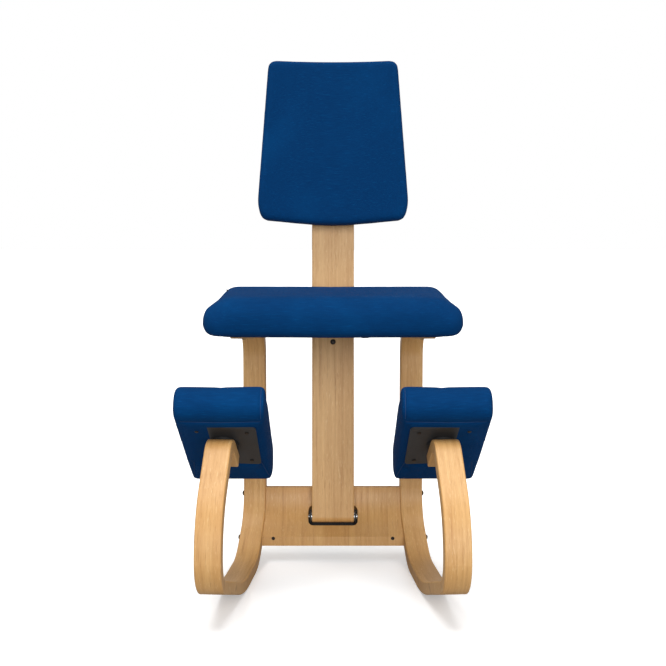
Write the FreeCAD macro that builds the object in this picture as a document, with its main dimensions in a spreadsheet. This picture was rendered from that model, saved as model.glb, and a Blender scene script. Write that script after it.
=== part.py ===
import FreeCAD, Part
import math
import os
import re

import Sketcher
from FreeCAD import Placement, Rotation, Vector

os.makedirs("parts", exist_ok=True)
doc = FreeCAD.newDocument("kneeling_chair")
sheet = doc.addObject("Spreadsheet::Sheet", "sizes")

# Driving sizes in millimetres and degrees. "Ahead" and "fwd" are measured forward
# of the datum, the upright plane at the rear of the seat; "up" is above the floor.
sizes = {
    # whole chair
    "datum_back": 257.6,
    "fit_gap": 0.3,
    "run_gap": 0.05,
    # bent runners
    "strip_width": 50,
    "strip_thickness": 25,
    "strip_easing": 3,
    "track_half": 177.3,
    "splay_angle": 4.57,
    "upright_fwd": -14.5,
    "arm_reach": 178,
    "shoulder_radius": 72.5,
    "rear_radius": 104.5,
    "rear_up": 150,
    "rear_angle": 60,
    "heel_radius": 160,
    "toe_fwd": 319.5,
    "toe_angle": 16.35,
    "toe_radius": 450,
    "nose_fwd": 598.5,
    "nose_radius": 57,
    "loop_up": 209.6,
    "loop_angle": 44,
    "loop_run": 187,
    "loop_radius": 170,
    "hook_slope": 35,
    "hook_radius": 37.5,
    "hook_land": 60,
    # bridge panel
    "panel_thickness": 18,
    "panel_top": 153,
    "panel_front": 62,
    "slot_angle": 217.5,
    "slot_half_width": 55.5,
    "slot_length": 50,
    "slot_corner": 12,
    "dowel_inset": 24,
    "dowel_size": 8,
    "dowel_length": 14,
    "dowel_hole_depth": 22,
    "panel_bolt_up": 138,
    "panel_bolt_fwd": 51,
    "panel_bolt_size": 5,
    "panel_bolt_head": 12,
    "panel_bolt_head_high": 4.5,
    "panel_bolt_past": 12,
    # foot of the stem
    "pivot_fwd": 20.6,
    "pivot_up": 92,
    "pivot_size": 8,
    "pivot_head": 12,
    "pivot_head_high": 2,
    "pivot_end": 2.4,
    "clip_size": 12,
    "clip_thickness": 1.2,
    "washer_thickness": 1,
    "pivot_washer_size": 20,
    "cheek_thickness": 4,
    "cheek_half": 12,
    "foot_plate": 4,
    "foot_plate_half": 78,
    "foot_plate_angle": 20,
    "foot_screw_side": 67,
    "foot_screw_angle": 12,
    # stem
    "stem_width": 94,
    "stem_thickness": 26,
    "stem_lean": 5,
    "stem_top": 972,
    "stem_corner": 20,
    "stem_easing": 2.5,
    "saddle_bolt_low": 392.5,
    "saddle_bolt_high": 443,
    "saddle_bolt_size": 6,
    "saddle_bolt_head": 12,
    "saddle_bolt_head_high": 3.6,
    "saddle_nut_size": 10,
    "saddle_nut_height": 5,
    # saddle, fork and clamp under the seat
    "saddle_metal": 4,
    "saddle_low": 382,
    "saddle_tongue_half": 22,
    "saddle_flange_low": 405,
    "saddle_flange_top": 453,
    "saddle_flange_drop": 14,
    "saddle_flange_back": 52,
    "saddle_flange_ahead": 6,
    "rod_up": 418,
    "rod_back": 34,
    "rod_size": 8,
    "tilt_range": 4,
    "tilt_spare": 0.4,
    "fork_metal": 4,
    "fork_front": 118,
    "fork_rear": 96,
    "fork_plate_rear": 28,
    "fork_depth_front": 27,
    "fork_depth_rear": 55,
    "fork_shoulder": 7,
    "fork_shoulder_down": 12,
    "fork_tail_down": 20,
    "fork_screw_side": 30,
    "fork_screw_rear": 44,
    "fork_screw_front": 100,
    "clamp_washer_size": 20,
    "clamp_washer_thickness": 1.6,
    "cap_nut_size": 13,
    "cap_nut_length": 12,
    "cap_nut_straight": 6.6,
    "cap_nut_step": 1.8,
    "cap_bore_depth": 7,
    # clamp knobs
    "knob_size": 36,
    "knob_height": 24,
    "knob_neck": 18,
    "knob_neck_height": 8,
    "knob_edge": 3,
    "knob_flute": 12,
    "knob_flute_out": 3.4,
    "knob_flutes": 6,
    "knob_bore_depth": 18,
    # seat
    "seat_up": 538,
    "seat_slope": 1.8,
    "arm_gap": 0.1,
    "board_thickness": 12,
    "board_rear": 20,
    "board_front": 318,
    "board_half_rear": 206,
    "board_half_front": 230,
    "board_corner": 30,
    "seat_rear": 4,
    "seat_front": 350,
    "seat_half_rear": 246,
    "seat_half_front": 257,
    "seat_hem": 5,
    "seat_thickness": 80,
    "seat_corner": 42,
    "seat_side_tuck": 20,
    "seat_side_roll": 62,
    "seat_end_tuck": 26,
    "seat_end_roll": 48,
    "arm_bolt_rear": 85,
    "arm_bolt_front": 150,
    "arm_bolt_size": 6,
    "arm_bolt_head": 12,
    "arm_bolt_head_high": 3.6,
    "arm_washer_size": 18,
    "tee_flange": 20,
    "tee_flange_thickness": 1.5,
    "tee_barrel": 9,
    "tee_depth": 9,
    "tab_fwd": 96,
    "tab_length": 9,
    "tab_reach": 7,
    "tab_thickness": 2,
    "tab_root": 1,
    "tab_angle": 52,
    # backrest
    "carrier_metal": 3,
    "carrier_low": 705,
    "carrier_top": 905,
    "carrier_wrap": 18,
    "height_at": 800,
    "height_down": 20,
    "height_rise": 60,
    "height_bolt_size": 8,
    "height_bolt_head": 20,
    "height_bolt_head_high": 4,
    "height_washer_size": 24,
    "height_washer_thickness": 2,
    "shell_radius": 470,
    "shell_thickness": 9,
    "shell_inset": 16,
    "slab_spare": 20,
    "back_low": 650,
    "back_corner_low": 662,
    "back_wide_at": 694,
    "back_top": 1010,
    "back_half_low": 156,
    "back_half_wide": 165.5,
    "back_half_top": 141.5,
    "back_corner": 18,
    "back_flank": 90,
    "back_bow": 700,
    "back_thickness": 40,
    "back_crown_radius": 540,
    "back_wrap": 6,
    "back_round_front": 10,
    "back_round_rear": 3,
    "carrier_screw_side": 30,
    "carrier_screw_low": 730,
    "carrier_screw_high": 880,
    # knee pads
    "pad_yaw": 2.43,
    "pad_bolt_inset": 18,
    "disc_size": 58,
    "disc_thickness": 5,
    "plate_thickness": 4,
    "plate_half_width": 65.5,
    "plate_rear": 92,
    "plate_front": 68,
    "plate_corner": 8,
    "plate_screw_side": 48,
    "plate_screw_rear": 74,
    "plate_screw_front": 50,
    "pad_board_thickness": 12,
    "pad_board_half": 61,
    "pad_board_rear": 87,
    "pad_board_front": 63,
    "pad_board_corner": 8,
    "pad_rear": 186,
    "pad_front": 114,
    "pad_half_width": 86,
    "pad_thickness": 76,
    "pad_corner": 34,
    "pad_side_tuck": 9,
    "pad_side_roll": 40,
    "pad_end_tuck": 30,
    "pad_end_roll": 46,
    "pad_bolt_size": 8,
    "pad_bolt_head": 20,
    "pad_bolt_head_high": 5,
    "pad_bolt_end": 9,
    "pad_washer_size": 22,
    "pad_washer_thickness": 1.6,
    "pad_nut_size": 13,
    "pad_nut_height": 8,
    # button heads, as shares of their width and height
    "bolt_chamfer": 0.5,
    "head_rim": 0.35,
    "head_shoulder": 0.36,
    "head_rise": 0.85,
    "socket_half": 0.2,
    "socket_floor": 0.45,
    # how far cuts run past what they cut
    "cut_spare": 1,
    "trim_spare": 60,
    # wood screws
    "screw_size": 4,
    "screw_head": 8,
    "screw_head_high": 2.4,
    "screw_grip": 8,
}
for row, (name, value) in enumerate(sizes.items(), start=1):
    sheet.set(f"A{row}", name)
    sheet.set(f"B{row}", str(value))
    sheet.setAlias(f"B{row}", name)
doc.recompute()


def bound(text):
    """Formula text with every size name pointing at the sheet."""
    return re.sub(r"[a-z_]+", lambda word: f"sizes.{word[0]}" if word[0] in sizes else word[0], str(text))


def size(text):
    """Present value of a size or of a formula of sizes."""
    return float(sheet.evalExpression(bound(text)))


def sine(degrees):
    return math.sin(math.radians(degrees))


def cosine(degrees):
    return math.cos(math.radians(degrees))


def tangent(degrees):
    return math.tan(math.radians(degrees))


# Frames: local -Y points ahead in each of them
side_turn = Rotation(Vector(1, 1, 1), 120)
front_turn = Rotation(Vector(1, 0, 0), 90)
plane_turns = {"XY_Plane": Rotation(), "XZ_Plane": front_turn, "YZ_Plane": side_turn}


def about(axis, degrees):
    return Placement(Vector(), Rotation(axis, degrees))


def shift(x=0.0, ahead=0.0, up=0.0):
    return Placement(Vector(x, -ahead, up), Rotation())


almost = 0.999  # share of a half width that still leaves a sliver of straight edge
AXIS_X, AXIS_Y, AXIS_Z = Vector(1, 0, 0), Vector(0, 1, 0), Vector(0, 0, 1)
home = Placement(Vector(0, size("datum_back"), 0), Rotation())
seat_frame = home * shift(up=size("seat_up")) * about(AXIS_X, size("seat_slope"))
stem_frame = home * shift(ahead=size("pivot_fwd"), up=size("pivot_up")) * about(AXIS_X, -size("stem_lean"))
sides = {"left": -1, "right": 1}
runner_frames = {
    side: home * shift(x=hand * size("track_half")) * about(AXIS_Z, hand * size("splay_angle"))
    for side, hand in sides.items()
}


def new_body(name, frame):
    body = doc.addObject("PartDesign::Body", name)
    body.Label = name
    body.Placement = frame
    return body


def new_sketch(body, name, role, at=None):
    """Sketch on an origin plane, or on that plane of a frame inside the body's own."""
    sketch = body.newObject("Sketcher::SketchObject", f"{body.Name}_{name}")
    plane = next(part for part in body.Origin.OriginFeatures if part.Role == role)
    sketch.AttachmentSupport = [(plane, "")]
    sketch.MapMode = "FlatFace"
    if at is not None:
        turn = Placement(Vector(), plane_turns[role])
        sketch.AttachmentOffset = turn.inverse() * at * turn
    return sketch


def tie(sketch, constraint, formula):
    index = sketch.addConstraint(constraint)
    name = f"size_{index}"
    sketch.renameConstraint(index, name)
    sketch.setExpression(f"Constraints.{name}", bound(formula))


def draw_circle(sketch, across, along, diameter):
    centre = Vector(size(across), size(along), 0)
    index = sketch.addGeometry(Part.Circle(centre, AXIS_Z, size(diameter) / 2))
    tie(sketch, Sketcher.Constraint("DistanceX", -1, 1, index, 3, centre.x), across)
    tie(sketch, Sketcher.Constraint("DistanceY", -1, 1, index, 3, centre.y), along)
    tie(sketch, Sketcher.Constraint("Diameter", index, size(diameter)), diameter)


def draw_polygon(sketch, corners):
    """Closed outline of straight lines, each corner held by two formulas."""
    points = [Vector(size(across), size(along), 0) for across, along in corners]
    first = sketch.GeometryCount
    count = len(points)
    for number, point in enumerate(points):
        sketch.addGeometry(Part.LineSegment(point, points[(number + 1) % count]))
    for number, (across, along) in enumerate(corners):
        line = first + number
        sketch.addConstraint(Sketcher.Constraint("Coincident", line, 2, first + (number + 1) % count, 1))
        tie(sketch, Sketcher.Constraint("DistanceX", -1, 1, line, 1, points[number].x), across)
        tie(sketch, Sketcher.Constraint("DistanceY", -1, 1, line, 1, points[number].y), along)


def draw_box(sketch, left, low, right, high):
    draw_polygon(sketch, [(left, low), (right, low), (right, high), (left, high)])


def rounded_outline(corners, radii):
    """Lines and arcs of a closed outline with its corners rounded."""
    starts, ends, middles = [], [], []
    count = len(corners)
    for number, corner in enumerate(corners):
        back = (corners[number - 1] - corner).normalize()
        on = (corners[(number + 1) % count] - corner).normalize()
        half = back.getAngle(on) / 2
        radius = radii[number]
        reach = radius / math.tan(half)
        starts.append(corner + back * reach)
        ends.append(corner + on * reach)
        middle_line = (back + on).normalize() if radius else Vector()
        middles.append(corner + middle_line * (radius / math.sin(half) - radius))
    pieces = []
    for number in range(count):
        if radii[number]:
            pieces.append(Part.Arc(starts[number], middles[number], ends[number]))
        following = starts[(number + 1) % count]
        if ends[number].distanceToPoint(following) > 1e-4:
            pieces.append(Part.LineSegment(ends[number], following))
    return pieces


def draw_pieces(sketch, pieces):
    for piece in pieces:
        sketch.addGeometry(piece)


def strip_outline(corners, radii, half):
    """Outline of a bent strip from the corners and bend radii of its middle line."""
    rims = []
    for hand in (1, -1):
        rim, rim_radii = [], []
        for number, corner in enumerate(corners):
            ways = []
            if number:
                ways.append((corner - corners[number - 1]).normalize())
            if number < len(corners) - 1:
                ways.append((corners[number + 1] - corner).normalize())
            normals = [Vector(-way.y, way.x, 0) * hand for way in ways]
            total = normals[0] + normals[-1]
            rim.append(corner + total * (half / (1 + normals[0].dot(normals[-1]))))
            turn = ways[0].cross(ways[-1]).z * hand
            bend = radii[number]
            rim_radii.append(bend - math.copysign(half, turn) if bend else 0)
        rims.append((rim, rim_radii))
    (left, left_radii), (right, right_radii) = rims
    return rounded_outline(left + right[::-1], left_radii + right_radii[::-1])


def pad(body, name, sketch, length, midplane=False, backward=False):
    feature = body.newObject("PartDesign::Pad", f"{body.Name}_{name}")
    feature.Profile = sketch
    feature.setExpression("Length", bound(length))
    feature.Midplane = midplane
    feature.Reversed = backward
    return feature


def pocket(body, name, sketch, length=None, midplane=False, backward=False):
    """Cut of the given depth, or through everything when no depth is given."""
    feature = body.newObject("PartDesign::Pocket", f"{body.Name}_{name}")
    feature.Profile = sketch
    if length is None:
        feature.Type = "ThroughAll"
    else:
        feature.setExpression("Length", bound(length))
    feature.Midplane = midplane
    feature.Reversed = backward
    return feature


def ease_edges(body, name, radius, wanted):
    """Round the edges of the body's tip that the test picks."""
    doc.recompute()
    tip = body.Tip
    picked = [f"Edge{number}" for number, edge in enumerate(tip.Shape.Edges, start=1) if wanted(edge)]
    feature = body.newObject("PartDesign::Fillet", f"{body.Name}_{name}")
    feature.Base = (tip, picked)
    feature.setExpression("Radius", bound(radius))
    return feature


def turned(name, profile):
    """Round part about Z from half-profile corners given as radius and height."""
    body = new_body(name, Placement())
    sketch = new_sketch(body, "profile", "XZ_Plane")
    draw_polygon(sketch, profile)
    feature = body.newObject("PartDesign::Revolution", f"{name}_turn")
    feature.Profile = sketch
    feature.ReferenceAxis = (sketch, ["V_Axis"])
    doc.recompute()
    return body


def button_bolt(name, shank, head, head_high, length):
    """Round-headed bolt, underside of the head at the origin, shank down."""
    return turned(name, [
        ("0", f"-({length})"), (f"{shank} / 2 - bolt_chamfer", f"-({length})"),
        (f"{shank} / 2", f"bolt_chamfer - ({length})"), (f"{shank} / 2", "0"), (f"{head} / 2", "0"),
        (f"{head} / 2", f"{head_high} * head_rim"), (f"{head} * head_shoulder", f"{head_high} * head_rise"),
        (f"{head} * socket_half", head_high), (f"{head} * socket_half", f"{head_high} * socket_floor"),
        ("0", f"{head_high} * socket_floor"),
    ])


def plain_washer(name, bore, outside, thickness):
    return turned(name, [
        (f"{bore} / 2", "0"), (f"{outside} / 2", "0"),
        (f"{outside} / 2", thickness), (f"{bore} / 2", thickness),
    ])


def wood_screw(name, grip):
    """Pan-headed screw, underside of the head at the origin, point down."""
    return turned(name, [
        ("0", f"-({grip}) - screw_size / 2"), ("screw_size / 2", f"-({grip})"), ("screw_size / 2", "0"),
        ("screw_head / 2", "0"), ("screw_head / 2", "screw_head_high / 2"),
        ("screw_head / 3", "screw_head_high"), ("0", "screw_head_high"),
    ])


def hex_nut(name, bore, across, height):
    body = new_body(name, Placement())
    sketch = new_sketch(body, "outline", "XY_Plane")
    corner = size(across) / 2 / cosine(30)
    corners = [Vector(corner * cosine(60 * turn), corner * sine(60 * turn), 0) for turn in range(6)]
    draw_pieces(sketch, rounded_outline(corners, [0] * 6))
    draw_circle(sketch, "0", "0", bore)
    pad(body, "pad", sketch, height)
    doc.recompute()
    return body


def gather(name, master, frames):
    """One node holding a copy of the master part at each frame."""
    group = doc.addObject("Part::Feature", name)
    group.Label = name
    copies = []
    for frame in frames:
        shape = master.Shape.copy()
        shape.Placement = frame * shape.Placement
        copies.append(shape)
    group.Shape = Part.makeCompound(copies) if len(copies) > 1 else copies[0]
    nodes.append(group)
    return group


nodes = []
half_strip = size("strip_thickness") / 2

# Middle line of a runner, seen from its side, from the arm's tip to the end of the hook
arm_slope = tangent(size("seat_slope"))
arm_up = size("seat_up") - (half_strip + size("arm_gap")) / cosine(size("seat_slope"))
rear_turn = size("rear_angle")
rear_corner_up = size("rear_up") - size("rear_radius") * tangent(rear_turn / 2)
heel_fwd = size("upright_fwd") + (rear_corner_up - half_strip) / tangent(90 - rear_turn)
nose_up = half_strip + (size("nose_fwd") - size("toe_fwd")) * tangent(size("toe_angle"))
hook_turn = size("loop_angle") + size("hook_slope")
hook_reach = size("hook_radius") * tangent(hook_turn / 2)
hook_corner = Vector(
    size("nose_fwd") - size("loop_run") * cosine(size("loop_angle")),
    size("loop_up") + size("loop_run") * sine(size("loop_angle")), 0)
hook_way = Vector(-cosine(size("hook_slope")), -sine(size("hook_slope")), 0)
runner_line = [
    (Vector(size("arm_reach"), arm_up - size("arm_reach") * arm_slope, 0), 0),
    (Vector(size("upright_fwd"), arm_up - size("upright_fwd") * arm_slope, 0), size("shoulder_radius")),
    (Vector(size("upright_fwd"), rear_corner_up, 0), size("rear_radius")),
    (Vector(heel_fwd, half_strip, 0), size("heel_radius")),
    (Vector(size("toe_fwd"), half_strip, 0), size("toe_radius")),
    (Vector(size("nose_fwd"), nose_up, 0), size("nose_radius")),
    (Vector(size("nose_fwd"), size("loop_up"), 0), size("loop_radius")),
    (hook_corner, size("hook_radius")),
    (hook_corner + hook_way * (hook_reach + size("hook_land")), 0),
]


# Place of the pad bolt on the outer face of the hook, in the runner's frame
bolt_line = hook_corner + hook_way * (hook_reach + size("pad_bolt_inset"))
hook_face = bolt_line + Vector(-sine(size("hook_slope")), cosine(size("hook_slope")), 0) * half_strip
hook_frames = {
    side: frame * shift(ahead=hook_face.x, up=hook_face.y) * about(AXIS_X, -size("hook_slope"))
    for side, frame in runner_frames.items()
}

# Bolt spots, written as formulas of fwd and up in the runner's frame
panel_mid = size("rear_radius")
bend_fwd = size("upright_fwd") + size("rear_radius")
rear_bolt_fwd = bend_fwd - math.sqrt(panel_mid ** 2 - (size("rear_up") - size("panel_bolt_up")) ** 2)
front_bolt_up = rear_corner_up - (size("panel_bolt_fwd") - size("upright_fwd")) * tangent(90 - rear_turn)
panel_bolt_spots = [(rear_bolt_fwd, "panel_bolt_up"), ("panel_bolt_fwd", front_bolt_up)]
arm_bolt_spots = ["arm_bolt_rear", "arm_bolt_front"]
arm_face = shift(up=size("seat_up") - size("arm_gap")) * about(AXIS_X, size("seat_slope"))
hook_spot = shift(ahead=hook_face.x, up=hook_face.y) * about(AXIS_X, -size("hook_slope"))

# Middle line of the bridge panel, from its top edge to beyond its trimmed front end
panel_end_fwd = size("panel_front + panel_thickness")
panel_end_up = rear_corner_up - (panel_end_fwd - size("upright_fwd")) * tangent(90 - rear_turn)
panel_line = [
    (Vector(size("upright_fwd"), size("panel_top"), 0), 0),
    (Vector(size("upright_fwd"), rear_corner_up, 0), size("rear_radius")),
    (Vector(panel_end_fwd, panel_end_up, 0), 0),
]
inner_planes = {
    side: home.inverse() * runner_frames[side] * shift(x=-hand * size("strip_width") / 2)
    for side, hand in sides.items()
}
slot_turn = size("slot_angle") - 180
slot_spot = shift(ahead=bend_fwd - panel_mid * cosine(slot_turn),
                  up=size("rear_up") - panel_mid * sine(slot_turn)) * about(AXIS_X, 90 - slot_turn)

# Bolts come in through the runners along their own cross direction
panel_bolt_frames, dowel_spots, dowel_frames = {}, {}, []
for side, hand in sides.items():
    for (fwd, up), spot in zip(panel_bolt_spots, ("rear", "front")):
        turn = about(AXIS_Y, hand * 90)
        out = shift(x=hand * size("strip_width") / 2, ahead=size(fwd), up=size(up))
        panel_bolt_frames[f"{side}_{spot}"] = runner_frames[side] * out * turn
        inset = shift(x=-hand * (size("strip_width") / 2 + size("dowel_inset")), ahead=size(fwd), up=size(up))
        heart = (home.inverse() * runner_frames[side] * inset).Base
        if spot == "rear":
            mouth = Placement(Vector(heart.x, heart.y, size("panel_top")), Rotation())
            sink = mouth.Base.z - heart.z
        else:
            mouth = Placement(Vector(heart.x, -size("panel_front"), heart.z), front_turn)
            sink = heart.y - mouth.Base.y
        dowel_spots[f"{side}_{spot}"] = mouth
        dowel_frames.append(home * mouth * shift(up=-sink - size("dowel_length") / 2))


def sheet_line(line):
    """Middle line in sketch axes, where ahead is the negative direction."""
    return [Vector(-point.x, point.y, 0) for point, bend in line], [bend for point, bend in line]


def outer_long_edges(half_width):
    """Test for the edges that run along a padded strip's two flat sides."""
    return lambda edge: all(abs(abs(end.Point.x) - half_width) < 0.01 for end in edge.Vertexes) \
        and edge.BoundBox.XLength < 0.01


# Runners: one bent strip each, bored for the panel bolts, the arm bolts and the pad bolt
for side, frame in runner_frames.items():
    runner = new_body(f"{side}_runner", frame)
    outline = new_sketch(runner, "outline", "YZ_Plane")
    draw_pieces(outline, strip_outline(*sheet_line(runner_line), half_strip))
    pad(runner, "strip", outline, "strip_width", midplane=True)
    ease_edges(runner, "easing", "strip_easing", outer_long_edges(size("strip_width") / 2))
    bores = new_sketch(runner, "panel_bores", "YZ_Plane")
    for fwd, up in panel_bolt_spots:
        draw_circle(bores, f"-({fwd})", up, "panel_bolt_size + 2 * fit_gap")
    pocket(runner, "panel_bore_cut", bores, midplane=True)
    bores = new_sketch(runner, "arm_bores", "XY_Plane", arm_face)
    for fwd in arm_bolt_spots:
        draw_circle(bores, "0", f"-{fwd}", "arm_bolt_size + 2 * fit_gap")
    pocket(runner, "arm_bore_cut", bores, "strip_thickness + 2 * cut_spare")
    bore = new_sketch(runner, "pad_bore", "XY_Plane", hook_spot)
    draw_circle(bore, "0", "0", "pad_bolt_size + 2 * fit_gap")
    pocket(runner, "pad_bore_cut", bore, "strip_thickness + 2 * cut_spare")
    nodes.append(runner)

# Bridge panel: bent around the same centre as the runners' rear bend
bridge = new_body("bridge_panel", home)
outline = new_sketch(bridge, "outline", "YZ_Plane")
draw_pieces(outline, strip_outline(*sheet_line(panel_line), size("panel_thickness") / 2))
pad(bridge, "strip", outline, "4 * track_half", midplane=True)
trim = new_sketch(bridge, "end_trim", "YZ_Plane")
draw_box(trim, "-panel_front - trim_spare", "-trim_spare", "-panel_front", "panel_top")
pocket(bridge, "end_trim_cut", trim, midplane=True)
for side, hand in sides.items():
    trim = new_sketch(bridge, f"{side}_trim", "YZ_Plane", inner_planes[side])
    draw_box(trim, "-2 * panel_top", "-trim_spare", "2 * panel_top", "2 * panel_top")
    pocket(bridge, f"{side}_trim_cut", trim, "2 * track_half", backward=hand > 0)
slot = new_sketch(bridge, "slot", "XY_Plane", slot_spot)
half_wide, half_long = size("slot_half_width"), size("slot_length") / 2
corners = [Vector(half_wide * across, half_long * along, 0)
           for across, along in ((-1, -1), (1, -1), (1, 1), (-1, 1))]
draw_pieces(slot, rounded_outline(corners, [size("slot_corner")] * 4))
pocket(bridge, "slot_cut", slot, "6 * panel_thickness", midplane=True)
for spot, frame in dowel_spots.items():
    hole = new_sketch(bridge, f"{spot}_dowel_hole", "XY_Plane", frame)
    draw_circle(hole, "0", "0", "dowel_size + 2 * run_gap")
    pocket(bridge, f"{spot}_dowel_cut", hole, "dowel_hole_depth")
for spot, frame in panel_bolt_frames.items():
    bore = new_sketch(bridge, f"{spot}_bore", "XY_Plane", home.inverse() * frame)
    draw_circle(bore, "0", "0", "panel_bolt_size + 2 * fit_gap")
    pocket(bridge, f"{spot}_bore_cut", bore, "strip_width + dowel_inset + panel_bolt_past")
nodes.append(bridge)

# Foot bracket: curved plate under the panel with two cheeks through the slot
under_radius = size("rear_radius + panel_thickness / 2")
plate_radius = size("foot_plate") / 2 + under_radius


def bend_point(radius, angle):
    """Point around the bend centre in side sketch axes; angle is from straight ahead."""
    return Vector(-(bend_fwd + radius * cosine(angle)), size("rear_up") + radius * sine(angle), 0)


def ring_piece(inner, outer, first, last):
    middle = (first + last) / 2
    return [
        Part.Arc(bend_point(inner, first), bend_point(inner, middle), bend_point(inner, last)),
        Part.LineSegment(bend_point(inner, last), bend_point(outer, last)),
        Part.Arc(bend_point(outer, last), bend_point(outer, middle), bend_point(outer, first)),
        Part.LineSegment(bend_point(outer, first), bend_point(inner, first)),
    ]


bracket = new_body("foot_bracket", home)
outline = new_sketch(bracket, "plate", "YZ_Plane")
draw_pieces(outline, ring_piece(under_radius, under_radius + size("foot_plate"),
                                size("slot_angle - foot_plate_angle"), size("slot_angle + foot_plate_angle")))
pad(bracket, "plate_pad", outline, "2 * foot_plate_half", midplane=True)
pivot_spot = shift(ahead=size("pivot_fwd"), up=size("pivot_up"))
cheek_turn = math.degrees(math.atan2(size("rear_up") - size("pivot_up"), bend_fwd - size("pivot_fwd")))
cheek_reach = plate_radius - math.hypot(size("rear_up") - size("pivot_up"), bend_fwd - size("pivot_fwd"))
cheek_half = size("cheek_half")
cheek_inner = size("stem_width / 2 + washer_thickness + 2 * run_gap")
for side, hand in sides.items():
    face = pivot_spot * shift(x=hand * cheek_inner) * about(AXIS_X, 90 - cheek_turn)
    cheek = new_sketch(bracket, f"{side}_cheek", "YZ_Plane", face)
    corners = [Vector(-cheek_half, cheek_half, 0), Vector(cheek_half, cheek_half, 0),
               Vector(cheek_half, -cheek_reach, 0), Vector(-cheek_half, -cheek_reach, 0)]
    draw_pieces(cheek, rounded_outline(corners, [cheek_half * almost] * 2 + [0, 0]))
    pad(bracket, f"{side}_cheek_pad", cheek, "cheek_thickness", backward=hand < 0)
bore = new_sketch(bracket, "pivot_bore", "YZ_Plane", pivot_spot)
draw_circle(bore, "0", "0", "pivot_size + 2 * run_gap")
pocket(bracket, "pivot_bore_cut", bore, midplane=True)
foot_screw_spots = []
for turn in (-1, 1):
    angle = size(f"slot_angle + {turn} * foot_screw_angle")
    spot = bend_point(under_radius + size("foot_plate"), angle)
    for hand in (-1, 1):
        foot_screw_spots.append(Placement(Vector(hand * size("foot_screw_side"), spot.x, spot.y), Rotation())
                                * about(AXIS_X, 90 - (angle - 180) + 180))
for number, spot in enumerate(foot_screw_spots):
    hole = new_sketch(bracket, f"screw_hole_{number}", "XY_Plane", spot)
    draw_circle(hole, "0", "0", "screw_size + 2 * run_gap")
    pocket(bracket, f"screw_hole_cut_{number}", hole, "3 * foot_plate", midplane=True)
    hole = new_sketch(bridge, f"screw_hole_{number}", "XY_Plane", spot)
    draw_circle(hole, "0", "0", "screw_size + 2 * run_gap")
    pocket(bridge, f"screw_hole_cut_{number}", hole, "2 * (foot_plate + screw_grip + 2 * screw_size)",
           midplane=True)
nodes.append(bracket)

# Foot pin with its clip and the two thin washers beside the stem
pin_length = size("stem_width + 2 * washer_thickness + 4 * run_gap + 2 * cheek_thickness + pivot_end")
pin = turned("pivot_pin", [
    ("0", f"-{pin_length}"), ("pivot_size / 2", f"-{pin_length}"), ("pivot_size / 2", "0"),
    ("pivot_head / 2", "0"), ("pivot_head / 2", "pivot_head_high"), ("0", "pivot_head_high"),
])
cheek_outer = cheek_inner + size("cheek_thickness")
pin.Placement = home * pivot_spot * shift(x=cheek_outer) * about(AXIS_Y, 90)
nodes.append(pin)
clip = plain_washer("pivot_clip", "pivot_size", "clip_size", "clip_thickness")
clip.Placement = home * pivot_spot * shift(x=-cheek_outer) * about(AXIS_Y, -90)
nodes.append(clip)
thin_washer = plain_washer("thin_washer", "pivot_size + 2 * run_gap", "pivot_washer_size", "washer_thickness")
gather("pivot_washers", thin_washer, [
    home * pivot_spot * shift(x=hand * size("stem_width / 2 + run_gap")) * about(AXIS_Y, hand * 90)
    for hand in (-1, 1)])
foot_screw = wood_screw("foot_screw", "foot_plate + screw_grip")
gather("foot_screws", foot_screw, [home * spot for spot in foot_screw_spots])

# Panel bolts from the runners' outer faces into cross dowels in the panel
panel_bolt = button_bolt("panel_bolt", "panel_bolt_size", "panel_bolt_head", "panel_bolt_head_high",
                         "strip_width + dowel_inset + panel_bolt_past - cut_spare")
gather("panel_bolts", panel_bolt, panel_bolt_frames.values())
dowel = new_body("cross_dowel", Placement())
outline = new_sketch(dowel, "outline", "XY_Plane")
draw_circle(outline, "0", "0", "dowel_size")
pad(dowel, "pad", outline, "dowel_length")
bore = new_sketch(dowel, "bore", "YZ_Plane", shift(up=size("dowel_length / 2")))
draw_circle(bore, "0", "0", "panel_bolt_size + 3 * fit_gap")
pocket(dowel, "bore_cut", bore, midplane=True)
doc.recompute()
gather("cross_dowels", dowel, dowel_frames)

# Stem: straight board with a rounded foot, bored for the pin, saddle bolts and height slot
stem = new_body("stem", stem_frame)
half_stem = size("stem_thickness") / 2
outline = new_sketch(stem, "outline", "YZ_Plane")
draw_pieces(outline, rounded_outline(
    [Vector(-half_stem, -half_stem, 0), Vector(half_stem, -half_stem, 0),
     Vector(half_stem, size("stem_top"), 0), Vector(-half_stem, size("stem_top"), 0)],
    [half_stem * almost] * 2 + [0, 0]))
pad(stem, "board", outline, "stem_width", midplane=True)
ease_edges(stem, "top_corners", "stem_corner",
           lambda edge: all(end.Point.z > size("stem_top") - 1 for end in edge.Vertexes)
           and edge.BoundBox.YLength > half_stem)
ease_edges(stem, "easing", "stem_easing",
           lambda edge: edge.BoundBox.ZLength > size("stem_top") / 2)
bore = new_sketch(stem, "pivot_bore", "YZ_Plane")
draw_circle(bore, "0", "0", "pivot_size + 2 * run_gap")
pocket(stem, "pivot_bore_cut", bore, midplane=True)
bores = new_sketch(stem, "saddle_bores", "XZ_Plane")
draw_circle(bores, "0", "saddle_bolt_low", "saddle_bolt_size + 2 * run_gap")
draw_circle(bores, "0", "saddle_bolt_high", "saddle_bolt_size + 2 * run_gap")
pocket(stem, "saddle_bore_cut", bores, midplane=True)
slot = new_sketch(stem, "height_slot", "XZ_Plane")
slot_half = size("height_bolt_size / 2 + fit_gap")
slot_low, slot_high = size("height_at - height_down") - slot_half, size("height_at + height_rise") + slot_half
draw_pieces(slot, rounded_outline(
    [Vector(-slot_half, slot_low, 0), Vector(slot_half, slot_low, 0),
     Vector(slot_half, slot_high, 0), Vector(-slot_half, slot_high, 0)], [slot_half * almost] * 4))
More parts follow.
